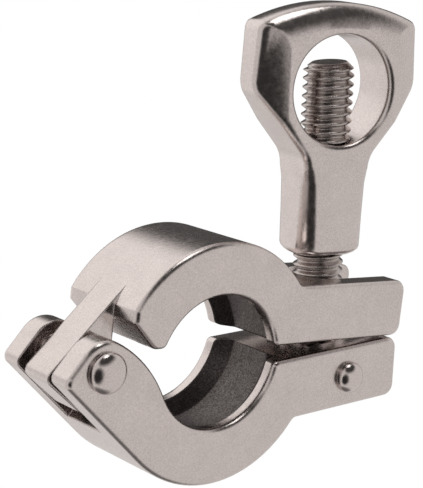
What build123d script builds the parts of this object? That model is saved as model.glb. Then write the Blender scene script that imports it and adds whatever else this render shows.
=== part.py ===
"""Hinged clamp for sanitary ferrule joints, with a swing bolt and a wing nut.

Two cast halves turn on a hinge pin and close round a pair of flanged ferrules. A groove with
sloping flanks inside each half draws the ferrules together. An eye bolt swings on its own pin
in the lower half, drops into the fork of the upper half and is tightened with a wing nut.

Frame: the origin is the centre of the ferrule joint, Y runs along the tube, X points at the
bolt and Z points up along the bolt. Lengths are millimetres, angles are degrees.
"""

import os
from math import asin, atan2, cos, degrees, radians, sin, sqrt

from build123d import *

# ---------------------------------------------------------------- driving dimensions

# both halves
body_width = 16.8            # along the tube
bore_radius = 11.0           # lips that stand over the tube
groove_radius = 13.1         # floor of the ferrule groove
groove_floor_width = 7.6
groove_flank_width = 2.4     # each sloping flank, along the tube
edge_round = 0.9             # rounding along the outer edges
arm_gap = 5.2                # between the arms when the clamp holds a ferrule pair
ring_overlap = 2.0           # how far the groove's cutter reaches into the bore
mouth_corner = 1.0           # where the bore meets the arms

# lower half
lower_outer_radius = 19.7
lower_arm_thickness = 9.8
lower_arm_end = 37.2
arm_corner = 1.9
arm_root_round = 1.4         # where an arm runs into the arch
lower_flank_angle = 223.3    # direction of the flat that runs down to the ears
ear_flat_angle = 136.5       # direction of the flat on top of the ears
ear_radius = 4.4             # rounding of the ears over the hinge pin
ear_thickness = 4.1
ear_tip_round = 1.3
ear_shoulder_angle = 60.0    # where the ear's round gives way to its long curve
hinge_slot_radius = 9.2      # hollow that the tongue turns in

# upper half
upper_outer_radius = 18.9
upper_arm_thickness = 9.1
upper_arm_end = 37.8
shoulder_angle = 150.0       # where the arch stops beside the tongue
shoulder_height = 1.7
shoulder_foot = 3.7          # height of the arch's left toe over the centre plane
shoulder_corner = 1.1
tongue_width = 5.7
tongue_angle = 136.0         # direction of the flat on top of the tongue
tongue_cover = 0.9           # metal between that flat and the hinge pin
tongue_length = 5.95         # along that flat, past the hinge axis
tongue_run = 13.45           # along that flat, from the hinge axis back into the arch
tongue_heel_angle = -39.0    # slope of the flat under the tongue's tip
tongue_heel_length = 8.9
tongue_inner = 4.5           # from the hinge axis to the tongue's inner edge
tongue_round = 1.2

# hinge
hinge_reach = 0.9            # from the lower arch's outer radius out to the hinge axis
hinge_z = 1.2
hinge_pin_radius = 2.3
hinge_head_radius = 3.4
over_closing = 5.0           # how far the empty clamp closes past its working position

# eye bolt
bolt_x = 26.4
bolt_radius = 3.97           # outside of a 5/16 inch thread
bolt_top = 41.6
bolt_chamfer = 1.2
eye_radius = 4.9
eye_width = 7.7
bolt_pin_radius = 2.0
bolt_pin_head_radius = 2.45
fork_width = 9.4             # slot for the bolt in both arms
fork_depth = 5.8             # from the bolt axis to the bottom of the upper slot
eye_clearance = 0.6          # between the eye and the bottom of the lower slot

# pins
pin_head_height = 1.9
pin_head_side = 0.9          # straight part of a head under its dome
press_clearance = 0.02
running_clearance = 0.05

# wing nut
nut_turn = -12.5             # about the bolt
nut_bottom = 11.2
stem_width = 11.4
head_thickness = 9.4
head_edge_thickness = 4.6
head_half_width = 14.6       # at the head's widest
head_top_half_width = 13.9
head_widest = 37.4           # height of the widest place
head_waist = 26.6            # height where the head runs into the stem
head_corner_height = 47.4
head_crown_height = 50.5
head_edge_round = 1.2
head_corner_round = 1.9
head_side_round = 3.8        # at the head's widest
waist_round = 5.0
finger_hole_radius = 8.5
finger_hole_height = 37.3
finger_rim_round = 0.9
core_margin = 1.0            # flat beside the finger hole before the faces fall away

# ---------------------------------------------------------------- worked out from them

half_width = body_width / 2
hinge_x = -(lower_outer_radius + hinge_reach)
half_gap = arm_gap / 2
nut_core = finger_hole_radius + core_margin
lower_arm_bottom = -half_gap - lower_arm_thickness
upper_arm_top = half_gap + upper_arm_thickness
hinge_slot_width = body_width - 2 * ear_thickness
bolt_pin_z = -half_gap - lower_arm_thickness / 2
os.makedirs("parts", exist_ok=True)
hinge_axis = Axis((hinge_x, 0, hinge_z), (0, 1, 0))
side_plane = Plane.XZ        # sketches drawn as seen from the front, normal towards -Y


def polar(radius, angle, centre=(0, 0)):
    """Point at a radius and an angle from a centre."""
    return (centre[0] + radius * cos(radians(angle)), centre[1] + radius * sin(radians(angle)))


def along(point, angle, length):
    """Point reached from another by going a length in a direction."""
    return polar(length, angle, point)


def corner(distance_a, angle_a, distance_b, angle_b):
    """Where two lines cross, each given by its distance from the centre and its direction."""
    ax, az = polar(1, angle_a)
    bx, bz = polar(1, angle_b)
    area = ax * bz - az * bx
    return ((distance_a * bz - distance_b * az) / area, (distance_b * ax - distance_a * bx) / area)


def corner_at(sketch, point):
    """The corner of a sketch that lies nearest to a point of its plane."""
    return sketch.vertices().sort_by_distance((point[0], point[1], 0))[0]


def rim_edges(solid):
    """Edges that bound the flat front and back faces."""
    return solid.edges().filter_by(lambda edge: abs(abs(edge.center().Y) - half_width) < 0.01)


def is_outline(edge):
    """True for an edge of the nut's outline, and not for the creases on its faces."""
    middle = edge @ 0.5
    across = abs(middle.X - bolt_x)
    return not (edge.geom_type == GeomType.LINE and abs(across - nut_core) < 0.01)


def is_finger_rim(edge):
    """True for an edge of the finger hole."""
    return abs(edge.radius - finger_hole_radius) < 0.01


# ---------------------------------------------------------------- ferrule groove

with BuildPart() as groove:
    with BuildSketch(Plane.XY) as groove_section:
        with BuildLine():
            half_floor = groove_floor_width / 2
            half_mouth = half_floor + groove_flank_width
            Polyline(
                (bore_radius - ring_overlap, -half_mouth),
                (bore_radius, -half_mouth),
                (groove_radius, -half_floor),
                (groove_radius, half_floor),
                (bore_radius, half_mouth),
                (bore_radius - ring_overlap, half_mouth),
                close=True,
            )
        make_face()
    revolve(axis=Axis.Y)

# ---------------------------------------------------------------- lower half

hinge_centre = (hinge_x, hinge_z)
hinge_across = hinge_x * cos(radians(ear_flat_angle)) + hinge_z * sin(radians(ear_flat_angle))
ear_tip = corner(hinge_across + ear_radius, ear_flat_angle, lower_outer_radius, lower_flank_angle)
flank_start = polar(lower_outer_radius, lower_flank_angle)
lower_root_angle = 360 - degrees(asin(-lower_arm_bottom / lower_outer_radius))
lower_root = polar(lower_outer_radius, lower_root_angle)
lower_arc_middle = polar(lower_outer_radius, (lower_flank_angle + lower_root_angle) / 2)
lower_mouth = (sqrt(bore_radius**2 - half_gap**2), -half_gap)
ear_meet = polar(ear_radius, ear_flat_angle, hinge_centre)
ear_top = polar(ear_radius, (ear_flat_angle + ear_shoulder_angle) / 2, hinge_centre)
ear_shoulder = polar(ear_radius, ear_shoulder_angle, hinge_centre)

# the ear's long curve is tangent to its round at one end and to the bore at the other
shoulder_reach = ear_shoulder[0] ** 2 + ear_shoulder[1] ** 2 - bore_radius**2
shoulder_x, shoulder_z = ear_shoulder
shoulder_offset = shoulder_x * cos(radians(ear_shoulder_angle)) + shoulder_z * sin(radians(ear_shoulder_angle))
ear_curve_radius = shoulder_reach / (2 * (shoulder_offset + bore_radius))
ear_curve_centre = along(ear_shoulder, ear_shoulder_angle + 180, ear_curve_radius)
ear_foot = polar(bore_radius, degrees(atan2(ear_curve_centre[1], ear_curve_centre[0])))

with BuildPart() as lower_half:
    with BuildSketch(side_plane) as lower_outline:
        with BuildLine():
            Polyline(
                (0, -half_gap),
                (lower_arm_end, -half_gap),
                (lower_arm_end, lower_arm_bottom),
                lower_root,
            )
            ThreePointArc(lower_root, lower_arc_middle, flank_start)
            Polyline(flank_start, ear_tip, ear_meet)
            ThreePointArc(ear_meet, ear_top, ear_shoulder)
            TangentArc(ear_shoulder, ear_foot, tangent=polar(1, ear_shoulder_angle - 90))
            Polyline(ear_foot, (0, -half_gap))
        make_face()
        Circle(bore_radius, mode=Mode.SUBTRACT)
        fillet(corner_at(lower_outline, ear_tip), ear_tip_round)
        fillet(corner_at(lower_outline, (lower_arm_end, -half_gap)), arm_corner)
        fillet(corner_at(lower_outline, (lower_arm_end, lower_arm_bottom)), arm_corner)
        fillet(corner_at(lower_outline, lower_root), arm_root_round)
        fillet(corner_at(lower_outline, lower_mouth), mouth_corner)
    extrude(amount=half_width, both=True)
    fillet(rim_edges(lower_half), edge_round)
    add(groove.part, mode=Mode.SUBTRACT)

    # hollow between the ears, for the tongue of the upper half
    with BuildSketch(side_plane) as hinge_hollow:
        with BuildLine():
            hollow_reach = 6 * ear_radius
            hollow_middle_angle = (lower_flank_angle + ear_flat_angle) / 2 - 180
            hollow_top = along(hinge_centre, ear_flat_angle - 90, hinge_slot_radius)
            hollow_end = along(hinge_centre, lower_flank_angle + 90, hinge_slot_radius)
            hollow_side = along(hinge_centre, hollow_middle_angle, hinge_slot_radius)
            far_top = along(hollow_top, ear_flat_angle, hollow_reach)
            far_end = along(hollow_end, lower_flank_angle, hollow_reach)
            ThreePointArc(hollow_top, hollow_side, hollow_end)
            Polyline(hollow_end, far_end, far_top, hollow_top)
        make_face()
    extrude(amount=hinge_slot_width / 2, both=True, mode=Mode.SUBTRACT)

    # fork for the eye of the bolt, open at the end of the arm
    fork_start = bolt_x - eye_radius - eye_clearance
    with BuildSketch(Plane.XY.offset(-half_gap)):
        with BuildLine():
            Polyline(
                (lower_arm_end + 1, -fork_width / 2),
                (fork_start, -fork_width / 2),
                (fork_start, fork_width / 2),
                (lower_arm_end + 1, fork_width / 2),
                close=True,
            )
        make_face()
    extrude(amount=-lower_arm_thickness, mode=Mode.SUBTRACT)

    # holes for the two pins
    with BuildSketch(side_plane):
        with Locations(hinge_centre):
            Circle(hinge_pin_radius + press_clearance)
        with Locations((bolt_x, bolt_pin_z)):
            Circle(bolt_pin_radius + press_clearance)
    extrude(amount=body_width, both=True, mode=Mode.SUBTRACT)

lower_half.part.label = "lower_half"
export_step(lower_half.part, "parts/lower_half.step")

# ---------------------------------------------------------------- upper half, in its working position

upper_root_angle = degrees(asin(upper_arm_top / upper_outer_radius))
upper_root = polar(upper_outer_radius, upper_root_angle)
upper_arc_middle = polar(upper_outer_radius, (upper_root_angle + shoulder_angle) / 2)
shoulder_top = polar(upper_outer_radius, shoulder_angle)
shoulder_low = (shoulder_top[0], shoulder_top[1] - shoulder_height)
toe_inner = (-sqrt(bore_radius**2 - shoulder_foot**2), shoulder_foot)
toe_outer = (shoulder_low[0] + shoulder_low[1] - shoulder_foot, shoulder_foot)
upper_mouth = (sqrt(bore_radius**2 - half_gap**2), half_gap)

over_hinge = along(hinge_centre, tongue_angle, hinge_pin_radius + tongue_cover)
tongue_start = along(over_hinge, tongue_angle - 90, tongue_run)
tongue_tip = along(over_hinge, tongue_angle + 90, tongue_length)
tongue_heel = along(tongue_tip, tongue_heel_angle, tongue_heel_length)
tongue_inner_x = hinge_x + tongue_inner
tongue_root = (tongue_inner_x, shoulder_low[1])

with BuildPart() as upper_half:
    with BuildSketch(side_plane) as upper_outline:
        with BuildLine():
            Polyline(
                (0, half_gap),
                (upper_arm_end, half_gap),
                (upper_arm_end, upper_arm_top),
                upper_root,
            )
            ThreePointArc(upper_root, upper_arc_middle, shoulder_top)
            Polyline(shoulder_top, shoulder_low, toe_outer, toe_inner, (0, shoulder_foot), (0, half_gap))
        make_face()
        Circle(bore_radius, mode=Mode.SUBTRACT)
        fillet(corner_at(upper_outline, toe_outer), shoulder_corner)
        fillet(corner_at(upper_outline, toe_inner), shoulder_corner)
        fillet(corner_at(upper_outline, (upper_arm_end, half_gap)), arm_corner)
        fillet(corner_at(upper_outline, (upper_arm_end, upper_arm_top)), arm_corner)
        fillet(corner_at(upper_outline, upper_root), arm_root_round)
        fillet(corner_at(upper_outline, upper_mouth), mouth_corner)
    extrude(amount=half_width, both=True)
    fillet(rim_edges(upper_half), edge_round)

    # tongue that turns between the ears
    with BuildSketch(side_plane) as tongue_outline:
        with BuildLine():
            Polyline(
                tongue_start,
                tongue_tip,
                tongue_heel,
                (tongue_inner_x, hinge_z - tongue_inner),
                tongue_root,
                (-bore_radius - 1, shoulder_low[1] + 1),
                close=True,
            )
        make_face()
        fillet(corner_at(tongue_outline, tongue_tip), tongue_round)
        fillet(corner_at(tongue_outline, tongue_heel), tongue_round)
    extrude(amount=tongue_width / 2, both=True)
    add(groove.part, mode=Mode.SUBTRACT)

    # fork for the bolt, open at the end of the arm
    with BuildSketch(Plane.XY.offset(half_gap)):
        with Locations((bolt_x - fork_depth + fork_width / 2, 0)):
            Circle(fork_width / 2)
        with Locations((upper_arm_end, 0)):
            Rectangle(2 * (upper_arm_end - bolt_x + fork_depth - fork_width / 2), fork_width)
    extrude(amount=2 * upper_arm_thickness, mode=Mode.SUBTRACT)

    with BuildSketch(side_plane):
        with Locations(hinge_centre):
            Circle(hinge_pin_radius + running_clearance)
    extrude(amount=body_width, both=True, mode=Mode.SUBTRACT)

upper_closed = upper_half.part.rotate(hinge_axis, over_closing)
upper_closed.label = "upper_half"
export_step(upper_closed, "parts/upper_half.step")

# ---------------------------------------------------------------- pins, with a domed head at each end


def make_pin(radius, head_radius):
    """Section of a pin along Y, from its middle to the top of its head, to be turned round."""
    face = half_width
    crown = face + pin_head_height
    edge = face + pin_head_side
    with BuildSketch(Plane.XY) as section:
        with BuildLine():
            Polyline((0, crown), (0, 0), (radius, 0), (radius, face), (head_radius, face), (head_radius, edge))
            RadiusArc((head_radius, edge), (0, crown), -dome_radius(head_radius))
        make_face()
    return section.sketch


def dome_radius(head_radius):
    """Radius of the sphere that caps a head."""
    rise = pin_head_height - pin_head_side
    return (head_radius**2 + rise**2) / (2 * rise)


with BuildPart() as hinge_pin:
    add(make_pin(hinge_pin_radius, hinge_head_radius))
    revolve(axis=Axis.Y)
    mirror(about=Plane.XZ)
hinge_pin_placed = hinge_pin.part.translate((hinge_x, 0, hinge_z))
hinge_pin_placed.label = "hinge_pin"
export_step(hinge_pin_placed, "parts/hinge_pin.step")

with BuildPart() as bolt_pin:
    add(make_pin(bolt_pin_radius, bolt_pin_head_radius))
    revolve(axis=Axis.Y)
    mirror(about=Plane.XZ)
bolt_pin_placed = bolt_pin.part.translate((bolt_x, 0, bolt_pin_z))
bolt_pin_placed.label = "bolt_pin"
export_step(bolt_pin_placed, "parts/bolt_pin.step")

# ---------------------------------------------------------------- eye bolt

with BuildPart() as eye_bolt:
    with Locations((bolt_x, 0, bolt_pin_z)):
        Cylinder(bolt_radius, bolt_top - bolt_pin_z, align=(Align.CENTER, Align.CENTER, Align.MIN))
    chamfer(eye_bolt.edges().sort_by(Axis.Z)[-1], bolt_chamfer)
    with BuildSketch(side_plane):
        with Locations((bolt_x, bolt_pin_z)):
            Circle(eye_radius)
    extrude(amount=eye_width / 2, both=True)
    with BuildSketch(side_plane):
        with Locations((bolt_x, bolt_pin_z)):
            Circle(bolt_pin_radius + running_clearance)
    extrude(amount=body_width, both=True, mode=Mode.SUBTRACT)

eye_bolt.part.label = "eye_bolt"
export_step(eye_bolt.part, "parts/eye_bolt.step")

# ---------------------------------------------------------------- wing nut

nut_plane = Plane(origin=(bolt_x, 0, 0), x_dir=(1, 0, 0), z_dir=(0, -1, 0))

with BuildPart() as wing_nut:
    # a shield with an arched top on a square stem, seen from the front
    with BuildSketch(nut_plane) as shield:
        with BuildLine():
            Polyline(
                (-head_top_half_width, head_corner_height),
                (-head_half_width, head_widest),
                (-stem_width / 2, head_waist),
                (-stem_width / 2, nut_bottom),
                (stem_width / 2, nut_bottom),
                (stem_width / 2, head_waist),
                (head_half_width, head_widest),
                (head_top_half_width, head_corner_height),
            )
            ThreePointArc(
                (head_top_half_width, head_corner_height),
                (0, head_crown_height),
                (-head_top_half_width, head_corner_height),
            )
        make_face()
        for side in (-1, 1):
            fillet(corner_at(shield, (side * head_top_half_width, head_corner_height)), head_corner_round)
            fillet(corner_at(shield, (side * head_half_width, head_widest)), head_side_round)
            fillet(corner_at(shield, (side * stem_width / 2, head_waist)), waist_round)
    extrude(amount=head_thickness / 2, both=True)

    # its faces fall away from the finger hole towards both sides
    with BuildSketch(Plane.XY):
        with BuildLine():
            edge_depth = head_edge_thickness / 2
            core_depth = head_thickness / 2
            Polyline(
                (bolt_x - head_half_width, -edge_depth),
                (bolt_x - nut_core, -core_depth),
                (bolt_x + nut_core, -core_depth),
                (bolt_x + head_half_width, -edge_depth),
                (bolt_x + head_half_width, edge_depth),
                (bolt_x + nut_core, core_depth),
                (bolt_x - nut_core, core_depth),
                (bolt_x - head_half_width, edge_depth),
                close=True,
            )
        make_face()
    extrude(amount=head_crown_height, mode=Mode.INTERSECT)
    front_edges = wing_nut.faces().filter_by(lambda face: abs(face.normal_at().Y) > 0.8).edges()
    fillet(front_edges.filter_by(lambda edge: is_outline(edge)), head_edge_round)

    with BuildSketch(nut_plane):
        with Locations((0, finger_hole_height)):
            Circle(finger_hole_radius)
    extrude(amount=head_thickness, both=True, mode=Mode.SUBTRACT)
    fillet(wing_nut.edges().filter_by(GeomType.CIRCLE).filter_by(is_finger_rim), finger_rim_round)

    with BuildSketch(Plane.XY.offset(nut_bottom)):
        with Locations((bolt_x, 0)):
            Circle(bolt_radius + running_clearance)
    extrude(amount=finger_hole_height - nut_bottom, mode=Mode.SUBTRACT)

wing_nut_turned = wing_nut.part.rotate(Axis((bolt_x, 0, 0), (0, 0, 1)), nut_turn)
wing_nut_turned.label = "wing_nut"
export_step(wing_nut_turned, "parts/wing_nut.step")
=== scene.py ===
"""Studio picture of the hinged sanitary clamp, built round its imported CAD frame.

Lengths are in metres. The frame's origin is the bore's centre, Y runs along the tube, X points at the
bolt and Z points up along the bolt.
"""

import math

import bmesh
import bpy
from mathutils import Matrix, Vector


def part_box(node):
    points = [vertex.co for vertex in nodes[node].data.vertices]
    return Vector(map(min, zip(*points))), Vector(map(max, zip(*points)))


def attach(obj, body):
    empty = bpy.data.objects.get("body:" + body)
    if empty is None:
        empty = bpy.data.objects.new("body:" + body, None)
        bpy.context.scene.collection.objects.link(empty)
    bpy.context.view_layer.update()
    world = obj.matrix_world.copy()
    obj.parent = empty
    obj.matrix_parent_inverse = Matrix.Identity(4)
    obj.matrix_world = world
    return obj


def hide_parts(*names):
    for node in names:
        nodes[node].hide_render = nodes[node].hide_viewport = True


MM = 0.001

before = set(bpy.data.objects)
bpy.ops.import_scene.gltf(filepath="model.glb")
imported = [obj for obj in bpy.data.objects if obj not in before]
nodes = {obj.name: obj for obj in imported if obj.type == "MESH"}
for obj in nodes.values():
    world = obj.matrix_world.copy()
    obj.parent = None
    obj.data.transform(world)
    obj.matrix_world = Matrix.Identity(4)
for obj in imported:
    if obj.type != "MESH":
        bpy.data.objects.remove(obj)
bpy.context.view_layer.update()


# ------------------------------------------------------------------ shader nodes


def new_material(name):
    """An empty node material with its output and one Principled shader."""
    material = bpy.data.materials.new(name)
    material.use_nodes = True
    tree = material.node_tree
    tree.nodes.clear()
    output = tree.nodes.new("ShaderNodeOutputMaterial")
    shader = tree.nodes.new("ShaderNodeBsdfPrincipled")
    tree.links.new(shader.outputs["BSDF"], output.inputs["Surface"])
    return material, tree, shader


def math_node(tree, operation, first, second=0.0):
    """A math node fed by sockets or plain values."""
    node = tree.nodes.new("ShaderNodeMath")
    node.operation = operation
    for socket, value in zip(node.inputs, (first, second)):
        if isinstance(value, (int, float)):
            socket.default_value = value
        else:
            tree.links.new(value, socket)
    return node.outputs["Value"]


def vector_node(tree, operation, vector, constant=None):
    """A vector math node on a vector socket and, where the operation has one, a constant vector."""
    node = tree.nodes.new("ShaderNodeVectorMath")
    node.operation = operation
    tree.links.new(vector, node.inputs[0])
    if constant is not None:
        node.inputs[1].default_value = constant
    return node


def noise(tree, place, scale, detail):
    """Noise value at a place; the scale is in cells per metre."""
    node = tree.nodes.new("ShaderNodeTexNoise")
    node.inputs["Scale"].default_value = scale
    node.inputs["Detail"].default_value = detail
    tree.links.new(place, node.inputs["Vector"])
    return node.outputs["Fac"]


def mapped(tree, value, source, target, interpolation="LINEAR"):
    """A value carried from a source range to a target range and held at its ends."""
    node = tree.nodes.new("ShaderNodeMapRange")
    node.interpolation_type = interpolation
    for socket, number in zip(("From Min", "From Max", "To Min", "To Max"), (*source, *target)):
        node.inputs[socket].default_value = number
    tree.links.new(value, node.inputs["Value"])
    return node.outputs["Result"]


def two_colours(tree, value, positions, colours):
    """A colour that runs from one colour to another between two positions of a value."""
    node = tree.nodes.new("ShaderNodeValToRGB")
    for element, position, colour in zip(node.color_ramp.elements, positions, colours):
        element.position = position
        element.color = (*colour, 1)
    tree.links.new(value, node.inputs["Fac"])
    return node.outputs["Color"]


# ------------------------------------------------------------------ materials

NOISE_MIDDLE = (0.3, 0.7)    # the part of its range where most of a noise's values lie
MOTTLE_SCALE = 300           # cells per metre of the soft mottling
MOTTLE_SHADE = 0.93          # its darker colour, as a share of the steel's
MOTTLE_RANGE = (0.3, 0.75)
SAND_SCALE = 3.2             # scale of the fine sanding, as a multiple of the grain's
SAND_SHADE = (0.86, 1.08)
GLOSS_SPREAD = (-0.04, 0.06)     # how far the roughness goes below and above its value
GRAIN_HEIGHT = 0.05 * MM
EDGE_RADIUS = 0.45 * MM      # shading only: tumbled rounding of the edges that the meshes leave sharp
EDGE_SAMPLES = 6


def steel(name, colour, roughness, grain, bump, bore_centre=None):
    """Tumbled stainless steel; grain is its noise scale, and a bore's centre adds the groove's as-cast grain
    and roughness, darkened with painted shade.
    """
    material, tree, shader = new_material(name)
    place = tree.nodes.new("ShaderNodeTexCoord").outputs["Object"]

    mottle = noise(tree, place, MOTTLE_SCALE, detail=4)
    darker = [channel * MOTTLE_SHADE for channel in colour]
    tint = two_colours(tree, mottle, MOTTLE_RANGE, (darker, colour))
    sand = noise(tree, place, SAND_SCALE * grain, detail=2)
    sanded = vector_node(tree, "SCALE", tint)
    tree.links.new(mapped(tree, sand, NOISE_MIDDLE, SAND_SHADE), sanded.inputs["Scale"])
    tree.links.new(sanded.outputs["Vector"], shader.inputs["Base Color"])

    speckle = noise(tree, place, grain, detail=3)
    spread = [roughness + change for change in GLOSS_SPREAD]
    tree.links.new(mapped(tree, speckle, NOISE_MIDDLE, spread), shader.inputs["Roughness"])

    relief = tree.nodes.new("ShaderNodeBump")
    relief.inputs["Strength"].default_value = bump
    relief.inputs["Distance"].default_value = GRAIN_HEIGHT
    tree.links.new(speckle, relief.inputs["Height"])
    soft_edge = tree.nodes.new("ShaderNodeBevel")
    soft_edge.samples = EDGE_SAMPLES
    soft_edge.inputs["Radius"].default_value = EDGE_RADIUS
    tree.links.new(soft_edge.outputs["Normal"], relief.inputs["Normal"])
    tree.links.new(relief.outputs["Normal"], shader.inputs["Normal"])

    shader.inputs["Metallic"].default_value = 1.0
    if bore_centre is not None:
        groove_shade_and_cast_grain(tree, shader, place, bore_centre)
    return material


GROOVE_REACH = 13.25 * MM    # radius of the groove's floor and 0.15 mm of margin
GROOVE_MOUTH = 12.5 * MM
# painted shade: the groove's two colours, far darker than the steel's, stand in for the shade in the recess;
# the grain between them is the as-cast grain
GROOVE_SHADE_DARK = (0.085, 0.074, 0.072)
GROOVE_SHADE_PALE = (0.21, 0.19, 0.185)
GROOVE_SCALE = 3600
GROOVE_RANGE = (0.38, 0.68)
GROOVE_ROUGHER = 0.22        # added to the roughness inside the groove
# a Mix node repeats its socket names for each type of value; these are the factor's and the colours' numbers
MIX_FACTOR, MIX_FIRST, MIX_SECOND, MIX_RESULT = 0, 6, 7, 2


def groove_shade_and_cast_grain(tree, shader, place, centre):
    """Inside the ferrule groove: rougher, grainier as-cast metal that no tumbling reaches, and painted shade
    that darkens its colour far below the steel's.
    """
    shift = vector_node(tree, "SUBTRACT", place, centre).outputs["Vector"]
    across = vector_node(tree, "MULTIPLY", shift, (1, 0, 1)).outputs["Vector"]
    off_axis = vector_node(tree, "LENGTH", across).outputs["Value"]
    parts = tree.nodes.new("ShaderNodeSeparateXYZ")
    tree.links.new(shift, parts.inputs["Vector"])
    off_middle = math_node(tree, "ABSOLUTE", parts.outputs["Y"])
    near_axis = math_node(tree, "LESS_THAN", off_axis, GROOVE_REACH)
    in_width = math_node(tree, "LESS_THAN", off_middle, GROOVE_MOUTH / 2)
    inside = math_node(tree, "MULTIPLY", near_axis, in_width)

    grain = noise(tree, place, GROOVE_SCALE, detail=4)
    # painted shade of the recess, mixed with the as-cast grain, over the groove only
    shaded_groove_colour = two_colours(tree, grain, GROOVE_RANGE, (GROOVE_SHADE_DARK, GROOVE_SHADE_PALE))
    colour = tree.nodes.new("ShaderNodeMix")
    colour.data_type = "RGBA"
    tree.links.new(inside, colour.inputs[MIX_FACTOR])
    tree.links.new(shader.inputs["Base Color"].links[0].from_socket, colour.inputs[MIX_FIRST])
    tree.links.new(shaded_groove_colour, colour.inputs[MIX_SECOND])
    tree.links.new(colour.outputs[MIX_RESULT], shader.inputs["Base Color"])
    smooth = shader.inputs["Roughness"].links[0].from_socket
    rough = math_node(tree, "ADD", smooth, math_node(tree, "MULTIPLY", inside, GROOVE_ROUGHER))
    tree.links.new(rough, shader.inputs["Roughness"])


def paint(name, material):
    """Give a CAD node one material."""
    nodes[name].data.materials.clear()
    nodes[name].data.materials.append(material)


# the upper half rests past its working place, so its groove has a centre of its own, turned about the hinge
OVER_CLOSING = math.radians(5)
hinge_low, hinge_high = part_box("hinge_pin")
hinge_place = (hinge_low + hinge_high) / 2
upper_centre = Matrix.Rotation(OVER_CLOSING, 3, "Y") @ -hinge_place + hinge_place

CAST = {"colour": (0.70, 0.637, 0.617), "roughness": 0.2, "grain": 1500, "bump": 0.25}
cast_steel = steel("cast_steel", **CAST)
lower_steel = steel("cast_steel_lower", **CAST, bore_centre=(0, 0, 0))
upper_steel = steel("cast_steel_upper", **CAST, bore_centre=tuple(upper_centre))
pin_steel = steel("pin_steel", colour=(0.70, 0.635, 0.615), roughness=0.13, grain=1800, bump=0.2)
bolt_steel = steel("bolt_steel", colour=(0.56, 0.51, 0.49), roughness=0.22, grain=1500, bump=0.25)

paint("lower_half", lower_steel)
paint("upper_half", upper_steel)

# ------------------------------------------------------------------ meshes

TURNED_SIDES = 72            # facets round the eye and the pins


def put_in_scene(name, data):
    """An object made of mesh, camera or lamp data and linked to the scene."""
    made = bpy.data.objects.new(name, data)
    bpy.context.scene.collection.objects.link(made)
    return made


def new_piece(name, vertices, faces, material=None):
    """An object of one mesh; its faces with four corners are shaded smooth."""
    mesh = bpy.data.meshes.new(name)
    mesh.from_pydata(vertices, [], faces)
    mesh.update()
    for polygon in mesh.polygons:
        polygon.use_smooth = len(polygon.vertices) == 4
    if material is not None:
        mesh.materials.append(material)
    return put_in_scene(name, mesh)


def column_faces(rows, around):
    """Faces of a column of rings, one above the other: its sides, then its foot and its top."""
    faces = []
    for row in range(rows - 1):
        for k in range(around):
            a = row * around + k
            b = row * around + (k + 1) % around
            faces.append((a, b, b + around, a + around))
    faces.append(tuple(reversed(range(around))))
    top = (rows - 1) * around
    faces.append(tuple(range(top, top + around)))
    return faces


def turned_points(profile, centre):
    """Points of a profile of radius and place along Y, turned about the line along Y through a centre."""
    x, y, z = centre
    points = []
    for k in range(TURNED_SIDES):
        angle = 2 * math.pi * k / TURNED_SIDES
        for radius, along in profile:
            points.append((x + radius * math.cos(angle), y + along, z + radius * math.sin(angle)))
    return points


def smooth_by_angle(piece, degrees):
    """Smooth shading with sharp edges where faces meet at more than an angle."""
    with bpy.context.temp_override(object=piece, active_object=piece, selected_editable_objects=[piece]):
        bpy.ops.object.shade_smooth_by_angle(angle=math.radians(degrees))


# ------------------------------------------------------------------ eye bolt with its thread

THREAD_PITCH = 1.41 * MM
THREAD_DEPTH = 0.75 * MM
ROOT_FLAT = 0.1              # shares of half a pitch; the rest is the flat of the crest
FLANK = 0.75
FADE_IN = 2 * THREAD_PITCH   # length over which the thread deepens at its lower end
THREAD_START = 7.0 * MM      # above the eye's centre
SHANK_START = 2.0 * MM       # above the eye's centre, just under the top of the pin's hole
RUN_OUT = 1.2 * MM           # chamfer at the tip
TIP_BAND = 2.0 * MM          # length over which the crop's slant is taken up
TIP_SLANT = 0.09             # fall over width: the crop leans down towards the hinge
THREAD_SIDES = 96
ROWS_PER_PITCH = 14
EYE_HALF_WIDTH = 3.85 * MM
EYE_HOLE = 2.05 * MM         # radius
EYE_ROUND = 0.6 * MM
HOLE_CHAMFER = 0.2 * MM
EYE_ROUND_STEPS = 6

bolt_low, bolt_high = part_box("eye_bolt")
bolt_radius = (bolt_high.y - bolt_low.y) / 2
axis_x = (bolt_low.x + bolt_high.x) / 2
eye_radius = (bolt_high.x - bolt_low.x) / 2
eye_centre_z = bolt_low.z + eye_radius
thread_foot = eye_centre_z + THREAD_START
thread_top = bolt_high.z


def unit(value):
    """A value held between 0 and 1."""
    return min(1.0, max(0.0, value))


def thread_radius(angle, z):
    """Radius of the threaded rod at an angle about its axis and a height."""
    phase = (z / THREAD_PITCH - angle / (2 * math.pi)) % 1.0
    off_root = abs(phase - 0.5) * 2
    rise = unit((off_root - ROOT_FLAT) / FLANK)
    fade = unit((z - thread_foot) / FADE_IN)
    radius = bolt_radius - THREAD_DEPTH * (1 - rise) * fade
    below_top = thread_top - z
    if below_top < RUN_OUT:
        radius = min(radius, bolt_radius - (RUN_OUT - below_top))
    return radius


def threaded_rod():
    """The bolt's rod with its thread and its slanted tip."""
    rows = int((thread_top - thread_foot) / (THREAD_PITCH / ROWS_PER_PITCH)) + 1
    heights = [eye_centre_z + SHANK_START]
    heights += [thread_foot + (thread_top - thread_foot) * i / rows for i in range(rows + 1)]
    vertices = []
    for z in heights:
        for k in range(THREAD_SIDES):
            angle = 2 * math.pi * k / THREAD_SIDES
            radius = thread_radius(angle, z) if z >= thread_foot else bolt_radius
            near_tip = max(0.0, 1 - (thread_top - z) / TIP_BAND)
            slant = TIP_SLANT * near_tip * (bolt_radius - radius * math.cos(angle))
            vertices.append((axis_x + radius * math.cos(angle), radius * math.sin(angle), z - slant))
    return new_piece("thread", vertices, column_faces(len(heights), THREAD_SIDES), bolt_steel)


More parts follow.
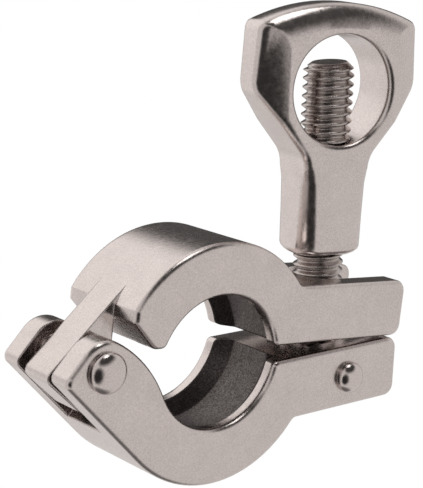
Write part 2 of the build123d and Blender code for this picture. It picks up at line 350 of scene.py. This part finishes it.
def eye():
    """The eye round the bolt pin: a short cylinder with softened rims and the pin's hole."""
    profile = [(EYE_HOLE, -EYE_HALF_WIDTH + HOLE_CHAMFER), (EYE_HOLE + HOLE_CHAMFER, -EYE_HALF_WIDTH)]
    for i in range(EYE_ROUND_STEPS + 1):
        angle = math.pi / 2 * i / EYE_ROUND_STEPS
        radius = eye_radius - EYE_ROUND + EYE_ROUND * math.sin(angle)
        profile.append((radius, -EYE_HALF_WIDTH + EYE_ROUND - EYE_ROUND * math.cos(angle)))
    profile += [(radius, -along) for radius, along in reversed(profile)]
    count = len(profile)
    faces = []
    for k in range(TURNED_SIDES):
        here = k * count
        after = ((k + 1) % TURNED_SIDES) * count
        for i in range(count):
            following = (i + 1) % count
            faces.append((here + i, here + following, after + following, after + i))
    return new_piece("bolt_eye", turned_points(profile, (axis_x, 0, eye_centre_z)), faces, bolt_steel)


thread = threaded_rod()
bolt_eye = eye()
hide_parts("eye_bolt")
for piece in (thread, bolt_eye):
    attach(piece, "bolt")

# ------------------------------------------------------------------ wing nut, with its stem and head rounded

NUT_TURN = math.radians(-12.5)
STEM_HALF_WIDTH = 5.7 * MM
STEM_HALF_DEPTH = 4.7 * MM
CLEAR = 0.02 * MM            # keeps the envelope's flat sides off the nut's
# in millimetres: height over the nut's foot, growth of the half width and of the half depth, corner radius
STEM_STATIONS = (
    (-1.0, -1.15, -1.15, 3.4), (0.0, -1.15, -1.15, 3.4), (0.12, -0.75, -0.75, 3.3), (0.4, -0.4, -0.4, 3.1),
    (0.85, -0.1, -0.1, 2.9), (1.3, 0.0, 0.0, 2.8), (3.0, 0.0, 0.0, 2.7), (6.0, 0.0, 0.0, 2.6),
    (9.0, 0.0, 0.0, 2.4), (11.5, 0.0, 0.0, 2.2), (13.5, 0.35, 0.0, 2.2), (15.0, 1.2, 0.0, 2.4),
    (16.5, 3.2, 0.0, 2.4), (18.0, 7.0, 0.0, 2.2), (19.0, 9.6, 0.0, 2.0), (31.0, 9.6, 0.0, 1.5),
    (33.5, 9.6, -0.08, 1.4), (35.5, 9.6, -0.3, 1.3), (37.0, 9.6, -0.7, 1.2), (38.0, 9.6, -1.2, 1.1),
    (38.7, 9.6, -1.75, 1.0), (39.1, 9.6, -2.3, 0.9), (39.4, 9.6, -3.0, 0.8), (41.0, 9.6, -3.6, 0.7),
    (46.0, 9.6, -3.6, 0.7),
)
CROWN_FALL = 3.1 * MM        # from the middle of the head's arched top to its corners
CROWN_HALF = 13.9 * MM       # half the width of that top
ARCH_FROM = 19.0             # stations between which the rings take on the arch, in millimetres
ARCH_TO = 33.5
FLAT_FROM = 45.0             # from here on they are flat again, well above the nut
CORNER_STEPS = 10
LONG_SIDE_STEPS = 24
WELD_DISTANCE = 0.004 * MM
SHORTEST_EDGE = 0.002 * MM
LARGEST_HOLE = 8             # sides
NUT_CREASE = 24              # degrees above which an edge of the nut is shaded sharp


def envelope_ring(half_x, half_y, radius):
    """Outline of a rectangle with round corners; its sides along X are divided to follow the arched top."""
    ring = []
    for quarter in range(4):
        side_x = 1 if quarter in (0, 3) else -1
        side_y = 1 if quarter in (0, 1) else -1
        for i in range(CORNER_STEPS + 1):
            angle = math.pi / 2 * (quarter + i / CORNER_STEPS)
            x = side_x * (half_x - radius) + radius * math.cos(angle)
            y = side_y * (half_y - radius) + radius * math.sin(angle)
            ring.append((x, y))
        if quarter in (0, 2):
            end_x, end_y = ring[-1]
            ring += [(end_x * (1 - 2 * i / LONG_SIDE_STEPS), end_y) for i in range(1, LONG_SIDE_STEPS)]
    return ring


def stem_envelope():
    """Rounded column, open wide above the waist, whose overlap with the nut is the rounded nut."""
    foot_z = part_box("wing_nut")[0].z
    vertices = []
    for height, growth_x, growth_y, corner in STEM_STATIONS:
        half_x = STEM_HALF_WIDTH + growth_x * MM + CLEAR
        half_y = STEM_HALF_DEPTH + growth_y * MM + CLEAR
        arched = unit((height - ARCH_FROM) / (ARCH_TO - ARCH_FROM)) if height < FLAT_FROM else 0.0
        ring = envelope_ring(half_x, half_y, corner * MM)
        for x, y in ring:
            turned_x = x * math.cos(NUT_TURN) - y * math.sin(NUT_TURN)
            turned_y = x * math.sin(NUT_TURN) + y * math.cos(NUT_TURN)
            fall = CROWN_FALL * (x / CROWN_HALF) ** 2 * arched
            vertices.append((axis_x + turned_x, turned_y, foot_z + height * MM - fall))
    return new_piece("stem_envelope", vertices, column_faces(len(STEM_STATIONS), len(ring)))


def weld(mesh):
    """Join the vertices that the cut leaves doubled and close what stays open."""
    work = bmesh.new()
    work.from_mesh(mesh)
    bmesh.ops.remove_doubles(work, verts=work.verts, dist=WELD_DISTANCE)
    bmesh.ops.dissolve_degenerate(work, edges=work.edges, dist=SHORTEST_EDGE)
    open_edges = [edge for edge in work.edges if edge.is_boundary]
    if open_edges:
        bmesh.ops.holes_fill(work, edges=open_edges, sides=LARGEST_HOLE)
    work.to_mesh(mesh)
    work.free()
    mesh.update()


def clipped_nut():
    """The CAD nut's mesh cut to the rounded column, as a piece of its own."""
    nut = nodes["wing_nut"]
    tool = stem_envelope()
    rounded = put_in_scene("rounded_nut", nut.data.copy())
    rounded.matrix_world = nut.matrix_world.copy()
    cut = rounded.modifiers.new("stem", "BOOLEAN")
    cut.operation = "INTERSECT"
    cut.solver = "EXACT"
    cut.object = tool
    bpy.context.view_layer.update()
    result = bpy.data.meshes.new_from_object(rounded.evaluated_get(bpy.context.evaluated_depsgraph_get()))
    rounded.modifiers.clear()
    rounded.data = result
    bpy.data.objects.remove(tool)
    weld(result)
    result.materials.clear()
    result.materials.append(cast_steel)
    return rounded


rounded_nut = clipped_nut()
smooth_by_angle(rounded_nut, NUT_CREASE)
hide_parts("wing_nut")
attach(rounded_nut, "nut")

# ------------------------------------------------------------------ pins, with round heads that stand proud

HEAD_SIDE = 0.45 * MM        # the head's straight side, below its dome
DOME_POWER = 1.05            # above 1, the dome is slimmer than an ellipse
DOME_STEPS = 16
PIN_CREASE = 40              # degrees above which an edge of a pin is shaded sharp

lower_face_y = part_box("lower_half")[1].y


def headed_pin(name, shank, head):
    """A pin along Y as long as the CAD pin, with a rounded head at each end; shank and head are radii."""
    low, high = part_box(name)
    centre = (low + high) / 2
    crown = high.y - centre.y
    face = lower_face_y - centre.y
    profile = []
    for i in range(1, DOME_STEPS + 1):
        angle = math.pi / 2 * i / DOME_STEPS
        along = face + HEAD_SIDE + (crown - face - HEAD_SIDE) * math.cos(angle) ** DOME_POWER
        profile.append((head * math.sin(angle) ** DOME_POWER, along))
    profile += [(head, face), (shank, face)]
    profile += [(radius, -along) for radius, along in reversed(profile)]

    # the two crowns come first, and the turned profile joins them
    vertices = [(centre.x, centre.y + crown, centre.z), (centre.x, centre.y - crown, centre.z)]
    vertices += turned_points(profile, centre)
    count = len(profile)
    faces = []
    for k in range(TURNED_SIDES):
        here = 2 + k * count
        after = 2 + ((k + 1) % TURNED_SIDES) * count
        faces.append((0, after, here))
        faces.append((1, here + count - 1, after + count - 1))
        for i in range(count - 1):
            faces.append((here + i, after + i, after + i + 1, here + i + 1))
    pin = new_piece(name + "_turned", vertices, faces, pin_steel)
    smooth_by_angle(pin, PIN_CREASE)
    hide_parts(name)
    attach(pin, "lower")


headed_pin("hinge_pin", shank=2.3 * MM, head=3.0 * MM)
headed_pin("bolt_pin", shank=2.0 * MM, head=2.45 * MM)

# ------------------------------------------------------------------ camera

AZIMUTH = math.radians(-40.07)       # about Z, from straight in front
ELEVATION = math.radians(13.29)
ROLL = math.radians(2.41)
DISTANCE = 224 * MM
TARGET = Vector((4.10 * MM, -0.65 * MM, 13.08 * MM))
SENSOR = 36                  # millimetres, along the picture's longer side
LENS = 110.6491              # millimetres
SHIFT_X = -0.0042418         # of the longer side
SHIFT_Y = 0.0250615
NEAREST = 0.01
FARTHEST = 10


def place_camera():
    """The photo's viewpoint, found from the photo and the clamp's own lengths."""
    level = math.cos(ELEVATION)
    back = Vector((math.sin(AZIMUTH) * level, -math.cos(AZIMUTH) * level, math.sin(ELEVATION)))
    right = Vector((math.cos(AZIMUTH), math.sin(AZIMUTH), 0))
    up = back.cross(right)
    rolled_right = math.cos(ROLL) * right + math.sin(ROLL) * up
    rolled_up = -math.sin(ROLL) * right + math.cos(ROLL) * up
    data = bpy.data.cameras.new("camera")
    data.sensor_fit = "AUTO"
    data.sensor_width = SENSOR
    data.lens = LENS
    data.shift_x = SHIFT_X
    data.shift_y = SHIFT_Y
    data.clip_start = NEAREST
    data.clip_end = FARTHEST
    camera = put_in_scene("camera", data)
    turn = Matrix((rolled_right, rolled_up, back)).transposed().to_4x4()
    camera.matrix_world = Matrix.Translation(TARGET + back * DISTANCE) @ turn
    bpy.context.scene.camera = camera


place_camera()

# ------------------------------------------------------------------ light and surround

KEY_PLACE = Vector((0.1, -0.1, 0.6))
KEY_AIM = Vector((0, 0, 0.01))
KEY_SIDE = 0.25
KEY_POWER = 0.5              # watts
KEY_COLOUR = (1, 0.98, 0.96)
WORLD_STRENGTH = 0.74
WORLD_COLOUR = (1.0, 0.965, 0.945)
# places where the surround is darker or lighter than elsewhere: direction, inner and outer cosine, factor
STUDIO_PATCHES = (
    ((-0.60, -0.77, -0.20), 0.92, 0.76, 0.04),   # the photographer's side
    ((0.66, 0.74, 0.14), 0.95, 0.82, 0.10),      # flag behind on the right
    ((0.10, -0.50, 0.86), 0.88, 0.68, 0.08),     # flag over the front
    ((0.0, 0.0, -1.0), 0.96, 0.80, 0.22),        # straight below
    ((-0.15, 0.74, 0.65), 0.96, 0.72, 1.5),      # soft box behind, above
    ((-0.25, 0.94, -0.20), 0.97, 0.88, 1.25),    # pale wall behind
)


def key_light():
    """One weak square soft box over the clamp."""
    data = bpy.data.lights.new("key", "AREA")
    data.shape = "SQUARE"
    data.size = KEY_SIDE
    data.energy = KEY_POWER
    data.color = KEY_COLOUR
    lamp = put_in_scene("key", data)
    turn = (KEY_AIM - KEY_PLACE).to_track_quat("-Z", "Y").to_matrix().to_4x4()
    lamp.matrix_world = Matrix.Translation(KEY_PLACE) @ turn


def studio_patch(tree, direction, toward, inner, outer, factor):
    """Brightness that goes from one to a factor near a fixed direction of the studio."""
    cosine = vector_node(tree, "DOT_PRODUCT", direction, Vector(toward).normalized()).outputs["Value"]
    return mapped(tree, cosine, (outer, inner), (1.0, factor), interpolation="SMOOTHSTEP")


def white_world():
    """White to the camera; to light and reflections, a pale studio with its darker and lighter places."""
    world = bpy.data.worlds.new("studio")
    bpy.context.scene.world = world
    world.use_nodes = True
    tree = world.node_tree
    tree.nodes.clear()
    output = tree.nodes.new("ShaderNodeOutputWorld")
    seen = tree.nodes.new("ShaderNodeBackground")
    seen.inputs["Color"].default_value = (1, 1, 1, 1)
    seen.inputs["Strength"].default_value = 1.0
    lit = tree.nodes.new("ShaderNodeBackground")
    lit.inputs["Color"].default_value = (*WORLD_COLOUR, 1)
    direction = tree.nodes.new("ShaderNodeTexCoord").outputs["Generated"]
    strength = WORLD_STRENGTH
    for patch in STUDIO_PATCHES:
        strength = math_node(tree, "MULTIPLY", studio_patch(tree, direction, *patch), strength)
    tree.links.new(strength, lit.inputs["Strength"])
    paths = tree.nodes.new("ShaderNodeLightPath")
    mix = tree.nodes.new("ShaderNodeMixShader")
    tree.links.new(paths.outputs["Is Camera Ray"], mix.inputs["Fac"])
    tree.links.new(lit.outputs["Background"], mix.inputs[1])
    tree.links.new(seen.outputs["Background"], mix.inputs[2])
    tree.links.new(mix.outputs["Shader"], output.inputs["Surface"])


white_world()
key_light()
bpy.context.scene.view_settings.view_transform = "Standard"
